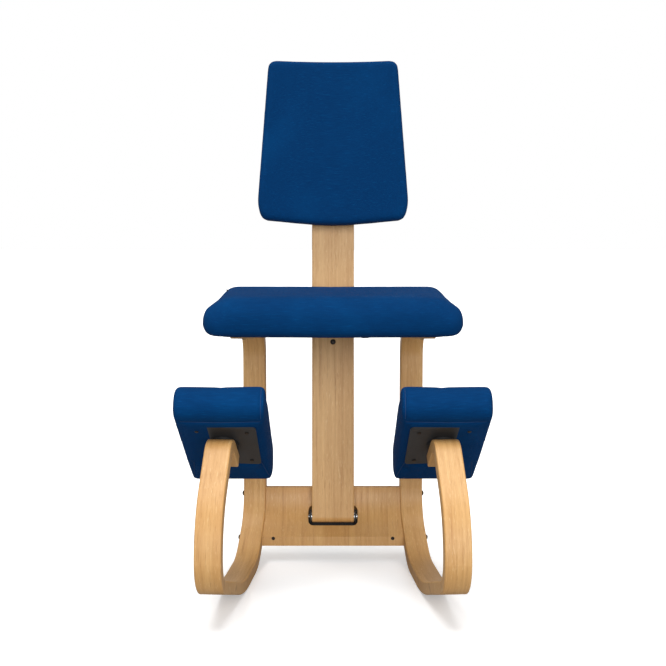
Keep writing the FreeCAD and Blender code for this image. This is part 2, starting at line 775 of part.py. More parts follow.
pocket(stem, "height_slot_cut", slot, midplane=True)
nodes.append(stem)

# Saddle: plate behind the stem with two flanges that reach back beside the clamp rod
saddle = new_body("stem_saddle", stem_frame)
outline = new_sketch(saddle, "back", "XZ_Plane", shift(ahead=-half_stem))
draw_polygon(outline, [
    ("-saddle_tongue_half", "saddle_low"), ("saddle_tongue_half", "saddle_low"),
    ("saddle_tongue_half", "saddle_flange_low"), ("stem_width / 2 + saddle_metal", "saddle_flange_low"),
    ("stem_width / 2 + saddle_metal", "saddle_flange_top"),
    ("-stem_width / 2 - saddle_metal", "saddle_flange_top"),
    ("-stem_width / 2 - saddle_metal", "saddle_flange_low"), ("-saddle_tongue_half", "saddle_flange_low"),
])
pad(saddle, "back_pad", outline, "saddle_metal", backward=True)
for side, hand in sides.items():
    flange = new_sketch(saddle, f"{side}_flange", "YZ_Plane", shift(x=hand * size("stem_width / 2")))
    draw_box(flange, "-saddle_flange_ahead", "saddle_flange_low", "saddle_flange_back",
             "saddle_flange_top - saddle_flange_drop")
    pad(saddle, f"{side}_flange_pad", flange, "saddle_metal", backward=hand < 0)
bore = new_sketch(saddle, "rod_bore", "YZ_Plane")
draw_circle(bore, "rod_back", "rod_up", "rod_size + 2 * run_gap")
pocket(saddle, "rod_bore_cut", bore, midplane=True)
bores = new_sketch(saddle, "bolt_bores", "XZ_Plane")
draw_circle(bores, "0", "saddle_bolt_low", "saddle_bolt_size + 2 * run_gap")
draw_circle(bores, "0", "saddle_bolt_high", "saddle_bolt_size + 2 * run_gap")
pocket(saddle, "bolt_bore_cut", bores, midplane=True)
nodes.append(saddle)
saddle_bolt = button_bolt("saddle_bolt", "saddle_bolt_size", "saddle_bolt_head", "saddle_bolt_head_high",
                          "stem_thickness + saddle_metal + saddle_bolt_size")
saddle_nut = hex_nut("saddle_nut", "saddle_bolt_size", "saddle_nut_size", "saddle_nut_height")
bolt_ups = [size("saddle_bolt_low"), size("saddle_bolt_high")]
gather("saddle_bolts", saddle_bolt, [
    stem_frame * shift(ahead=half_stem, up=up) * about(AXIS_X, 90) for up in bolt_ups])
gather("saddle_nuts", saddle_nut, [
    stem_frame * shift(ahead=-half_stem - size("saddle_metal"), up=up) * about(AXIS_X, -90)
    for up in bolt_ups])

# Fork under the seat: plate and two cheeks with curved slots around the foot pin
fork = new_body("seat_fork", seat_frame)
fork_inner = size("stem_width / 2 + saddle_metal + fit_gap")
fork_outer = fork_inner + size("fork_metal")
outline = new_sketch(fork, "plate", "XY_Plane")
draw_box(outline, -fork_outer, "-fork_front", fork_outer, "-fork_plate_rear")
pad(fork, "plate_pad", outline, "fork_metal", backward=True)
for side, hand in sides.items():
    cheek = new_sketch(fork, f"{side}_cheek", "YZ_Plane", shift(x=hand * fork_inner))
    draw_polygon(cheek, [
        ("-fork_front", "0"), ("-fork_plate_rear", "0"),
        ("fork_shoulder - fork_plate_rear", "-fork_shoulder_down"), ("fork_rear", "-fork_tail_down"),
        ("fork_rear", "-fork_depth_rear"), ("-fork_front", "-fork_depth_front"),
    ])
    pad(fork, f"{side}_cheek_pad", cheek, "fork_metal", backward=hand < 0)
rod_reach = math.hypot(size("rod_up"), size("rod_back"))
rod_lean = size("stem_lean") + math.degrees(math.atan2(size("rod_back"), size("rod_up")))
slot_half = size("rod_size / 2 + fit_gap")
first, last = rod_lean - size("tilt_spare"), rod_lean + size("tilt_range + tilt_spare")


def sweep_point(reach, lean):
    return Vector(reach * sine(lean), reach * cosine(lean), 0)


arc_slot = new_sketch(fork, "arc_slot", "YZ_Plane", seat_frame.inverse() * home * pivot_spot)
end_turn = math.degrees(slot_half / rod_reach)
draw_pieces(arc_slot, [
    Part.Arc(*[sweep_point(rod_reach + slot_half, lean) for lean in (first, (first + last) / 2, last)]),
    Part.Arc(sweep_point(rod_reach + slot_half, last), sweep_point(rod_reach, last + end_turn),
             sweep_point(rod_reach - slot_half, last)),
    Part.Arc(*[sweep_point(rod_reach - slot_half, lean) for lean in (last, (first + last) / 2, first)]),
    Part.Arc(sweep_point(rod_reach - slot_half, first), sweep_point(rod_reach, first - end_turn),
             sweep_point(rod_reach + slot_half, first)),
])
pocket(fork, "arc_slot_cut", arc_slot, midplane=True)
fork_screw_spots = [(hand, name) for hand in (-1, 1) for name in ("fork_screw_rear", "fork_screw_front")]
holes = new_sketch(fork, "screw_holes", "XY_Plane")
for hand, name in fork_screw_spots:
    draw_circle(holes, f"{hand} * fork_screw_side", f"-{name}", "screw_size + 2 * run_gap")
pocket(fork, "screw_hole_cut", holes, midplane=True)
nodes.append(fork)
fork_screw = wood_screw("fork_screw", "fork_metal + screw_grip")
gather("fork_screws", fork_screw, [
    seat_frame * shift(x=hand * size("fork_screw_side"), ahead=size(name), up=-size("fork_metal"))
    * about(AXIS_X, 180) for hand, name in fork_screw_spots])

# Clamp rod across the saddle, with a cap nut, two washers and the tilt knob
rod_spot = stem_frame * shift(ahead=-size("rod_back"), up=size("rod_up"))
clamp_face = fork_inner + size("fork_metal + fit_gap")
washer_out = clamp_face + size("clamp_washer_thickness")
rod_low = washer_out + size("cap_bore_depth - cut_spare")
rod_high = washer_out + size("knob_bore_depth - 2 * cut_spare")
rod = turned("clamp_rod", [
    ("0", -rod_low), ("rod_size / 2", -rod_low), ("rod_size / 2", rod_high), ("0", rod_high),
])
rod.Placement = rod_spot * about(AXIS_Y, 90)
nodes.append(rod)
clamp_washer = plain_washer("clamp_washer", "rod_size", "clamp_washer_size", "clamp_washer_thickness")
gather("clamp_washers", clamp_washer, [
    rod_spot * shift(x=hand * clamp_face) * about(AXIS_Y, hand * 90) for hand in (-1, 1)])
cap = turned("clamp_nut", [
    ("rod_size / 2", "0"), ("cap_nut_size / 2", "0"), ("cap_nut_size / 2", "cap_nut_straight"),
    ("cap_nut_size / 2 - cap_nut_step", "cap_nut_length - cap_nut_step"),
    ("cap_nut_step", "cap_nut_length"), ("0", "cap_nut_length"), ("0", "cap_bore_depth"),
    ("rod_size / 2", "cap_bore_depth"),
])
cap.Placement = rod_spot * shift(x=-washer_out) * about(AXIS_Y, -90)
nodes.append(cap)


def clamp_knob(name, shank):
    """Fluted knob about Z with its neck at the origin and a blind bore."""
    knob = turned(name, [
        (f"{shank} / 2 + run_gap", "0"), ("knob_neck / 2", "0"), ("knob_neck / 2", "knob_neck_height"),
        ("knob_size / 2", "knob_neck_height"), ("knob_size / 2", "knob_height"), ("0", "knob_height"),
        ("0", "knob_bore_depth"), (f"{shank} / 2 + run_gap", "knob_bore_depth"),
    ])
    flute = new_sketch(knob, "flute", "XY_Plane")
    draw_circle(flute, "knob_size / 2 + knob_flute_out", "0", "knob_flute")
    cut = pocket(knob, "flute_cut", flute, "2 * knob_height + 2 * cut_spare", midplane=True)
    ring = knob.newObject("PartDesign::PolarPattern", f"{name}_flutes")
    ring.Originals = [cut]
    ring.Axis = (flute, ["N_Axis"])
    ring.Angle = 360
    ring.setExpression("Occurrences", bound("knob_flutes"))
    knob.Tip = ring
    ease_edges(knob, "round", "knob_edge / 2",
               lambda edge: edge.BoundBox.ZLength < 0.01 and edge.BoundBox.ZMin > size("knob_height") - 0.01)
    return knob


knob = clamp_knob("tilt_knob", "rod_size")
knob.Placement = rod_spot * shift(x=washer_out + size("run_gap")) * about(AXIS_Y, 90)
nodes.append(knob)


def tapered_outline(half_rear, half_front, rear, front, corner):
    """Plan outline with straight sides that may narrow to the rear, as lines and arcs."""
    corners = [Vector(-half_rear, -rear, 0), Vector(half_rear, -rear, 0),
               Vector(half_front, -front, 0), Vector(-half_front, -front, 0)]
    return rounded_outline(corners, [corner] * 4)


# Levels of a cushion's plan outlines, as angles round its rolled edge
roll_angles = (-80, -50, -20, 10, 40, 65, 86)


def cushion(name, frame, plan, bottom, thickness, rolls):
    """Soft form lofted upward through plan outlines drawn in by a rolled edge.

    The plan gives half widths, rear, front and corner; the rolls give how far the sides
    and ends draw in below and above the fullest line.
    """
    half_rear, half_front, rear, front, corner = plan
    side_under, side_over, end_under, end_over = rolls
    body = new_body(name, frame)
    half = thickness / 2
    sections = []
    for number, angle in enumerate(roll_angles):
        side_roll, end_roll = (side_under, end_under) if angle < 0 else (side_over, end_over)
        side_in = side_roll * (1 - cosine(angle))
        end_in = end_roll * (1 - cosine(angle))
        level = bottom + half + half * sine(angle)
        section = new_sketch(body, f"section_{number}", "XY_Plane", shift(up=level))
        draw_pieces(section, tapered_outline(half_rear - side_in, half_front - side_in,
                                             rear + end_in, front - end_in, corner))
        sections.append(section)
    loft = body.newObject("PartDesign::AdditiveLoft", f"{name}_loft")
    loft.Profile = sections[0]
    loft.Sections = sections[1:]
    doc.recompute()
    return body


# Seat: board with tee nuts, and a cushion that wraps its edges
def seat_board_outline(spare=0.0):
    return tapered_outline(
        size("board_half_rear") + spare, size("board_half_front") + spare, size("board_rear") - spare,
        size("board_front") + spare, size("board_corner") + spare)


board = new_body("seat_board", seat_frame)
outline = new_sketch(board, "outline", "XY_Plane")
draw_pieces(outline, seat_board_outline())
pad(board, "board", outline, "board_thickness")
arm_bolt_frames = [
    runner_frames[side] * arm_face * shift(ahead=size(fwd)) for side in sides for fwd in arm_bolt_spots]
for number, frame in enumerate(arm_bolt_frames):
    spot = seat_frame.inverse() * frame
    hole = new_sketch(board, f"tee_hole_{number}", "XY_Plane", shift(x=spot.Base.x, ahead=-spot.Base.y))
    draw_circle(hole, "0", "0", "tee_barrel")
    pocket(board, f"tee_hole_cut_{number}", hole, "4 * board_thickness", midplane=True)
holes = new_sketch(board, "screw_holes", "XY_Plane")
for hand, name in fork_screw_spots:
    draw_circle(holes, f"{hand} * fork_screw_side", f"-{name}", "screw_size + 2 * run_gap")
pocket(board, "screw_hole_cut", holes, midplane=True)
nodes.append(board)

seat_plan = [size(f"seat_{part}") for part in ("half_rear", "half_front", "rear", "front", "corner")]
seat_rolls = [size(f"seat_{part}") for part in ("side_tuck", "side_roll", "end_tuck", "end_roll")]
seat = cushion("seat_cushion", seat_frame, seat_plan, -size("seat_hem"), size("seat_thickness"), seat_rolls)
recess = new_sketch(seat, "board_recess", "XY_Plane", shift(up=-size("seat_hem + cut_spare")))
draw_pieces(recess, seat_board_outline(size("fit_gap")))
pocket(seat, "board_recess_cut", recess,
       "seat_hem + cut_spare + board_thickness + tee_flange_thickness + fit_gap", backward=True)
nodes.append(seat)
tee = turned("tee_nut", [
    ("arm_bolt_size / 2 + run_gap", "-tee_depth"), ("tee_barrel / 2", "-tee_depth"), ("tee_barrel / 2", "0"),
    ("tee_flange / 2", "0"), ("tee_flange / 2", "tee_flange_thickness"),
    ("arm_bolt_size / 2 + run_gap", "tee_flange_thickness"),
])
gather("tee_nuts", tee, [
    seat_frame * shift(x=spot.Base.x, ahead=-spot.Base.y, up=size("board_thickness"))
    for spot in (seat_frame.inverse() * frame for frame in arm_bolt_frames)])
arm_bolt = button_bolt("arm_bolt", "arm_bolt_size", "arm_bolt_head", "arm_bolt_head_high",
                       "strip_thickness + washer_thickness + arm_gap + board_thickness")
arm_washer = plain_washer("arm_washer", "arm_bolt_size + 2 * run_gap", "arm_washer_size", "washer_thickness")
arm_under = [frame * shift(up=-size("strip_thickness")) * about(AXIS_X, 180) for frame in arm_bolt_frames]
gather("arm_washers", arm_washer, arm_under)
gather("arm_bolts", arm_bolt, [frame * shift(up=size("washer_thickness")) for frame in arm_under])

# Backrest: curved shell, wrapped cushion, and a channel that rides on the stem
slide_gap = size("fit_gap")
carrier_face = half_stem + slide_gap + size("carrier_metal")
carrier_half = size("stem_width") / 2 + slide_gap
carrier = new_body("back_carrier", stem_frame)
outline = new_sketch(carrier, "channel", "XY_Plane", shift(up=size("carrier_low")))
metal = size("carrier_metal")
carrier_edge = carrier_face - size("carrier_wrap")
draw_polygon(outline, [
    (-carrier_half - metal, -carrier_face), (carrier_half + metal, -carrier_face),
    (carrier_half + metal, carrier_edge), (carrier_half, carrier_edge),
    (carrier_half, metal - carrier_face), (-carrier_half, metal - carrier_face),
    (-carrier_half, carrier_edge), (-carrier_half - metal, carrier_edge),
])
pad(carrier, "channel_pad", outline, "carrier_top - carrier_low")
holes = new_sketch(carrier, "holes", "XZ_Plane")
draw_circle(holes, "0", "height_at", "height_bolt_size + 2 * run_gap")
carrier_screw_spots = [
    (hand, name) for hand in (-1, 1) for name in ("carrier_screw_low", "carrier_screw_high")]
for hand, name in carrier_screw_spots:
    draw_circle(holes, f"{hand} * carrier_screw_side", name, "screw_size + 2 * run_gap")
pocket(carrier, "hole_cut", holes, midplane=True)
nodes.append(carrier)

shell_centre = carrier_face + slide_gap + size("shell_radius")


def bow(radius, half, ahead_of_centre):
    """Arc across the stem, open to the front, with its deepest point at the given place."""
    lift = radius - math.sqrt(radius ** 2 - half ** 2)
    return Part.Arc(Vector(-half, -ahead_of_centre - lift, 0), Vector(0, -ahead_of_centre, 0),
                    Vector(half, -ahead_of_centre - lift, 0))


def crescent(rear, front, rear_radius, front_radius, half):
    back, face = bow(rear_radius, half, rear), bow(front_radius, half, front)
    return [back, Part.LineSegment(back.toShape().Vertexes[-1].Point, face.toShape().Vertexes[-1].Point),
            face, Part.LineSegment(face.toShape().Vertexes[0].Point, back.toShape().Vertexes[0].Point)]


def back_outline(inset):
    """Front outline of the backrest: bowed lower edge, sides widest low down, straight top."""
    left, right = (
        [Vector(hand * (size(half) - inset), height, 0) for half, height in (
            ("back_half_low", size("back_corner_low") + inset),
            ("back_half_wide", size("back_wide_at") + inset),
            ("back_half_top", size("back_top") - inset))]
        for hand in (-1, 1))
    corner, flank = size("back_corner"), size("back_flank")
    radii = [size("back_bow"), corner, flank, corner, corner, flank, corner]
    return rounded_outline([Vector(0, size("back_low") + inset, 0), *right, *left[::-1]], radii)


def bowed_slab(name, frame, rear, front, rear_radius, front_radius, inset):
    """Slab bowed across the stem and trimmed to the backrest's front outline."""
    body = new_body(name, frame)
    half = size("back_half_wide + slab_spare")
    outline = new_sketch(body, "bow", "XY_Plane", shift(up=size("back_low - slab_spare")))
    draw_pieces(outline, crescent(rear, front, rear_radius, front_radius, half))
    pad(body, "slab", outline, "back_top - back_low + 2 * slab_spare")
    trim = new_sketch(body, "trim", "XZ_Plane")
    draw_pieces(trim, back_outline(inset))
    draw_box(trim, "-back_top", "back_low - 2 * slab_spare", "back_top", "back_top + 2 * slab_spare")
    pocket(body, "trim_cut", trim, midplane=True)
    return body


def along_bow(radius, deepest):
    """Test for the edges that run along a bowed face."""
    def runs_along(edge):
        points = [edge.valueAt(edge.FirstParameter + (edge.LastParameter - edge.FirstParameter) * part)
                  for part in (0, 0.5, 1)]
        return all(abs(point.y + deepest + radius - math.sqrt(radius ** 2 - point.x ** 2)) < 0.05
                   for point in points)
    return runs_along


shell_rear = carrier_face + slide_gap
shell_front = shell_rear + size("shell_thickness")
shell = bowed_slab("back_board", stem_frame, shell_rear, shell_front, size("shell_radius"),
                   size("shell_radius - shell_thickness"), size("shell_inset"))
holes = new_sketch(shell, "holes", "XZ_Plane")
draw_circle(holes, "0", "height_at", "height_bolt_head + 2 * cut_spare")
for hand, name in carrier_screw_spots:
    draw_circle(holes, f"{hand} * carrier_screw_side", name, "screw_size + 2 * run_gap")
pocket(shell, "hole_cut", holes, midplane=True)
nodes.append(shell)
# The bowed face lifts the screw heads by its rise at their outer edge
front_bow = size("shell_radius - shell_thickness")
screw_lift = front_bow - math.sqrt(front_bow ** 2 - size("carrier_screw_side + screw_head / 2") ** 2)

pillow_rear, pillow_front = shell_front - size("back_wrap"), shell_front + size("back_thickness")
pillow_bow = size("shell_radius - shell_thickness + back_wrap")
pillow = bowed_slab("back_cushion", stem_frame, pillow_rear, pillow_front,
                    pillow_bow, size("back_crown_radius"), 0)
ease_edges(pillow, "front_round", "back_round_front", along_bow(size("back_crown_radius"), pillow_front))
ease_edges(pillow, "rear_round", "back_round_rear", along_bow(pillow_bow, pillow_rear))
doc.recompute()
# The shell sits in a hollow of its own outline in the cushion's rear face
hollow = bowed_slab("shell_hollow", Placement(), shell_rear, shell_front + size("fit_gap"),
                    size("shell_radius"), size("shell_radius - shell_thickness - fit_gap"),
                    size("shell_inset - fit_gap"))
rooms = new_sketch(hollow, "head_rooms", "XZ_Plane", shift(ahead=shell_front - size("shell_thickness") / 2))
for hand, name in carrier_screw_spots:
    draw_circle(rooms, f"{hand} * carrier_screw_side", name, "screw_head + 2 * fit_gap")
pad(hollow, "head_rooms_pad", rooms, f"shell_thickness / 2 + {screw_lift} + screw_head_high + fit_gap")
doc.recompute()
pillow_cut = pillow.newObject("PartDesign::Boolean", "back_cushion_hollow")
pillow_cut.Type = "Cut"
pillow_cut.setObjects([hollow])
pillow.Tip = pillow_cut
nodes.append(pillow)

# Height clamp: bolt through the channel and the stem's slot, washer and knob behind
carrier_screw = wood_screw("carrier_screw", f"carrier_metal + shell_thickness + {screw_lift}"
                           " + fit_gap - screw_size / 2 - run_gap")
gather("carrier_screws", carrier_screw, [
    stem_frame * shift(x=hand * size("carrier_screw_side"), ahead=shell_front + screw_lift, up=size(name))
    * about(AXIS_X, 90)
    for hand, name in carrier_screw_spots])
height_bolt = button_bolt("height_bolt", "height_bolt_size", "height_bolt_head", "height_bolt_head_high",
                          f"{carrier_face + half_stem} + fit_gap + height_washer_thickness"
                          " + knob_bore_depth - 2 * cut_spare")
height_bolt.Placement = stem_frame * shift(ahead=carrier_face, up=size("height_at")) * about(AXIS_X, 90)
nodes.append(height_bolt)
behind = stem_frame * shift(ahead=-half_stem - size("fit_gap"), up=size("height_at")) * about(AXIS_X, -90)
height_washer = plain_washer("height_washer", "height_bolt_size", "height_washer_size",
                             "height_washer_thickness")
height_washer.Placement = behind
nodes.append(height_washer)
knob = clamp_knob("height_knob", "height_bolt_size")
knob.Placement = behind * shift(up=size("height_washer_thickness + run_gap"))
nodes.append(knob)

# Knee pads, each turned a little towards straight ahead on its hook
plate_low = size("disc_thickness + 2 * run_gap")
plate_high = plate_low + size("plate_thickness")
pad_bolt = button_bolt("pad_bolt", "pad_bolt_size", "pad_bolt_head", "pad_bolt_head_high",
                       f"{plate_high} + 2 * run_gap + strip_thickness + pad_washer_thickness + pad_bolt_end")
pad_washer = plain_washer("pad_washer", "pad_bolt_size", "pad_washer_size", "pad_washer_thickness")
pad_nut = hex_nut("pad_nut", "pad_bolt_size", "pad_nut_size", "pad_nut_height")
plate_screw = wood_screw("plate_screw", "plate_thickness + screw_grip")
plate_screw_spots = [(hand, fwd) for hand in (-1, 1) for fwd in ("-plate_screw_rear", "plate_screw_front")]
pad_plan = [size(part) for part in (
    "pad_half_width", "pad_half_width", "-pad_rear", "pad_front", "pad_corner")]
pad_rolls = [size(f"pad_{part}") for part in ("side_tuck", "side_roll", "end_tuck", "end_roll")]
for side, hand in sides.items():
    hook = hook_frames[side]
    turned_frame = hook * about(AXIS_Z, -hand * size("pad_yaw"))
    disc = new_body(f"{side}_swivel_disc", hook)
    outline = new_sketch(disc, "outline", "XY_Plane")
    draw_circle(outline, "0", "0", "disc_size")
    draw_circle(outline, "0", "0", "pad_bolt_size + 2 * run_gap")
    pad(disc, "pad", outline, "disc_thickness")
    nodes.append(disc)

    plate = new_body(f"{side}_pad_plate", turned_frame * shift(up=plate_low))
    outline = new_sketch(plate, "outline", "XY_Plane")
    half = size("plate_half_width")
    draw_pieces(outline, tapered_outline(half, half, -size("plate_rear"), size("plate_front"),
                                         size("plate_corner")))
    draw_circle(outline, "0", "0", "pad_bolt_size + 2 * run_gap")
    for way, fwd in plate_screw_spots:
        draw_circle(outline, f"{way} * plate_screw_side", f"-({fwd})", "screw_size + 2 * run_gap")
    pad(plate, "pad", outline, "plate_thickness")
    nodes.append(plate)

    base = new_body(f"{side}_pad_board", turned_frame * shift(up=plate_high))
    outline = new_sketch(base, "outline", "XY_Plane")
    half = size("pad_board_half")
    draw_pieces(outline, tapered_outline(half, half, -size("pad_board_rear"), size("pad_board_front"),
                                         size("pad_board_corner")))
    draw_circle(outline, "0", "0", "pad_bolt_head + 2 * cut_spare")
    for way, fwd in plate_screw_spots:
        draw_circle(outline, f"{way} * plate_screw_side", f"-({fwd})", "screw_size + 2 * run_gap")
    pad(base, "pad", outline, "pad_board_thickness")
    nodes.append(base)

    pillow = cushion(f"{side}_pad_cushion", turned_frame, pad_plan, plate_high, size("pad_thickness"),
                     pad_rolls)
    recess = new_sketch(pillow, "board_recess", "XY_Plane", shift(up=plate_high - size("cut_spare")))
    spare = size("fit_gap")
    draw_pieces(recess, tapered_outline(half + spare, half + spare, -size("pad_board_rear") - spare,
                                        size("pad_board_front") + spare, size("pad_board_corner")))
    pocket(pillow, "board_recess_cut", recess, "cut_spare + pad_board_thickness + fit_gap", backward=True)
    nodes.append(pillow)

    gather(f"{side}_plate_screws", plate_screw, [
        turned_frame * shift(x=way * size("plate_screw_side"), ahead=size(fwd), up=plate_low)
        * about(AXIS_X, 180) for way, fwd in plate_screw_spots])
    gather(f"{side}_pad_bolt", pad_bolt, [hook * shift(up=plate_high + 2 * size("run_gap"))])
    under = hook * shift(up=-size("strip_thickness")) * about(AXIS_X, 180)
    gather(f"{side}_pad_washer", pad_washer, [under])
    gather(f"{side}_pad_nut", pad_nut, [under * shift(up=size("pad_washer_thickness"))])

# Folded tab in the left seam of the seat
tab_half = size("seat_half_rear + (seat_half_front - seat_half_rear) * (tab_fwd - seat_rear)"
                " / (seat_front - seat_rear)")
tab_in = size("seat_side_roll") * (1 - cosine(size("tab_angle")))
tab_spot = shift(x=tab_in - tab_half, ahead=size("tab_fwd"),
                 up=size("seat_thickness") / 2 * (1 + sine(size("tab_angle"))) - size("seat_hem"))
tab_turn = tab_spot * about(AXIS_Y, size("tab_angle"))
tab = new_body("side_tab", seat_frame * tab_turn)
outline = new_sketch(tab, "outline", "XY_Plane")
draw_box(outline, "-tab_reach", "-tab_length / 2", "tab_root", "tab_length / 2")
pad(tab, "pad", outline, "tab_thickness", midplane=True)
nodes.append(tab)
root = new_sketch(seat, "tab_root", "XY_Plane", tab_turn)
draw_box(root, "-tab_reach", "-tab_length / 2", "tab_root", "tab_length / 2")
pocket(seat, "tab_root_cut", root, "tab_thickness", midplane=True)


# Every feature must be sound before its node is written
doc.recompute()
broken = [thing.Name for thing in doc.Objects if {"Invalid", "Error"} & set(thing.State)]
if broken:
    raise SystemExit(f"features that failed: {broken}")
for node in nodes:
    if node.Shape.isNull() or not node.Shape.isValid():
        raise SystemExit(f"{node.Label} is not a sound solid")
    node.Shape.exportStep(f"parts/{node.Label}.step")
print(f"{len(nodes)} nodes written")
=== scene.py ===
import math

import bpy
from mathutils import Matrix, Vector
from mathutils.bvhtree import BVHTree
from mathutils.kdtree import KDTree


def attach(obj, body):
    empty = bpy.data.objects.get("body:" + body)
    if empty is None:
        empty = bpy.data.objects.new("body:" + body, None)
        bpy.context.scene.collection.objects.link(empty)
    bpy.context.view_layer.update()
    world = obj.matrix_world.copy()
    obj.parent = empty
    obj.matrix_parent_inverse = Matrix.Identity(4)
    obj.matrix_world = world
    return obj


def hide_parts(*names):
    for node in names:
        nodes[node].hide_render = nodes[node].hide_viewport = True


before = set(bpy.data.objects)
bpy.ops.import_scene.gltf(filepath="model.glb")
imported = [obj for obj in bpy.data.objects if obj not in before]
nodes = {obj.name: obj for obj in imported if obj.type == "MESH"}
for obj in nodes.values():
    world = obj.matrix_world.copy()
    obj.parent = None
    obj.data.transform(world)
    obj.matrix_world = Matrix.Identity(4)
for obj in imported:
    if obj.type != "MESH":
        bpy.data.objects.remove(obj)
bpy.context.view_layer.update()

scene = bpy.context.scene
white = (1, 1, 1, 1)
hands = {"left": -1, "right": 1}


class Wire:
    # a shader socket that can be written in sums: wire * 2, 1 - wire

    def __init__(self, graph, socket):
        self.graph = graph
        self.socket = socket

    def maths(self, operation, *values):
        return self.graph.add("ShaderNodeMath", {"operation": operation}, dict(enumerate(values)))

    def __add__(self, other):
        return self.maths("ADD", self, other)

    def __radd__(self, other):
        return self.maths("ADD", other, self)

    def __sub__(self, other):
        return self.maths("SUBTRACT", self, other)

    def __rsub__(self, other):
        return self.maths("SUBTRACT", other, self)

    def __mul__(self, other):
        return self.maths("MULTIPLY", self, other)

    def __rmul__(self, other):
        return self.maths("MULTIPLY", other, self)

    def __truediv__(self, other):
        return self.maths("DIVIDE", self, other)

    def __rtruediv__(self, other):
        return self.maths("DIVIDE", other, self)

    def sine(self):
        return self.maths("SINE", self)

    def ramp(self, low, high):
        # 0 below low, 1 above high, smooth between
        return self.graph.add(
            "ShaderNodeMapRange", {"interpolation_type": "SMOOTHSTEP"}, {0: self, 1: low, 2: high})


class Graph:
    # the nodes of one material, or of the world

    def __init__(self, owner, shader="Principled BSDF"):
        owner.use_nodes = True
        self.owner = owner
        self.tree = owner.node_tree
        self.shader = self.tree.nodes[shader]
        self.ending = self.shader.outputs[0].links[0].to_socket

    def add(self, kind, settings=None, inputs=None, output=0):
        node = self.tree.nodes.new(kind)
        for name, value in (settings or {}).items():
            setattr(node, name, value)
        self.fill(node, inputs or {})
        return Wire(self, node.outputs[output])

    def fill(self, node, inputs):
        for name, value in inputs.items():
            if isinstance(value, Wire):
                self.tree.links.new(value.socket, node.inputs[name])
            else:
                node.inputs[name].default_value = value

    def surface(self, **inputs):
        # Base_Color=tone sets or links the shader's "Base Color"
        self.fill(self.shader, {name.replace("_", " "): value for name, value in inputs.items()})
        return self.owner

    def split(self, lit, seen):
        # light meets one shader and the camera sees the other
        ray = self.add("ShaderNodeLightPath", output="Is Camera Ray")
        mixed = self.add("ShaderNodeMixShader", None, {0: ray, 1: lit, 2: seen})
        self.tree.links.new(mixed.socket, self.ending)

    def place(self):
        return self.add("ShaderNodeTexCoord", output="Object")

    def along(self, place, direction):
        # distance along a direction, in metres
        return self.add("ShaderNodeVectorMath", {"operation": "DOT_PRODUCT"},
                        {0: place, 1: direction}, "Value")

    def join(self, across, up, deep):
        return self.add("ShaderNodeCombineXYZ", None, {0: across, 1: up, 2: deep})

    def noise(self, place, scale, detail=3.0, rough=0.5):
        return self.add("ShaderNodeTexNoise", None, {
            "Vector": place, "Scale": scale, "Detail": detail, "Roughness": rough}, "Fac")

    def blend(self, share, first, second):
        return self.add("ShaderNodeMix", {"data_type": "RGBA"}, {"Factor": share, 6: first, 7: second}, 2)

    def bump(self, height, depth):
        return self.add("ShaderNodeBump", None, {"Height": height, "Distance": depth, "Strength": 1.0})


def finish(name):
    return Graph(bpy.data.materials.new(name))


def colour(red, green, blue):
    # 0-255 as seen on screen to the linear colour a socket takes
    def linear(part):
        part /= 255
        return part / 12.92 if part <= 0.04045 else ((part + 0.055) / 1.055) ** 2.4
    return (linear(red), linear(green), linear(blue), 1.0)


def dress(names, material):
    for name in names:
        slots = nodes[name].data.materials
        slots.clear()
        slots.append(material)


def newMesh(name, points, faces):
    mesh = bpy.data.meshes.new(name)
    mesh.from_pydata([tuple(point) for point in points], [], faces)
    return mesh


def newObject(name, data):
    made = bpy.data.objects.new(name, data)
    scene.collection.objects.link(made)
    return made


def partWay(first, second, share):
    return first + (second - first) * share


# oiled oak veneer: fine pores and slow streaks along the strip
oakLook = {
    "pale": colour(224, 180, 118),
    "honey": colour(198, 149, 88),
    "streak": colour(158, 105, 52),
    "fleck": colour(238, 208, 156),
    "poreWidth": 0.0007,            # metres across the grain
    "poreLength": 0.03,
    "fleckWidth": 0.00112,
    "fleckLength": 0.015,
    "streakWidth": 0.006,
    "streakLength": 0.3,
    "bandWidth": 0.036,
    "bandLength": 0.5,
    "honeyFrom": (0.3, 0.8),        # where each tone comes in, from none to all
    "streakFrom": (0.56, 0.74),
    "poreFrom": (0.58, 0.72),
    "fleckFrom": (0.6, 0.76),
    "streakShare": 0.5,
    "poreShare": 0.55,
    "fleckShare": 0.5,
    "mottle": 0.6,                  # how much bands and streaks darken the tone
    "roughness": 0.42,
    "roughSpread": 0.12,
    "poreDepth": 0.00012,
    "streakHeight": 0.3,
    "coat": 0.12,
    "coatRoughness": 0.35,
}
splayAngle = math.radians(4.57)


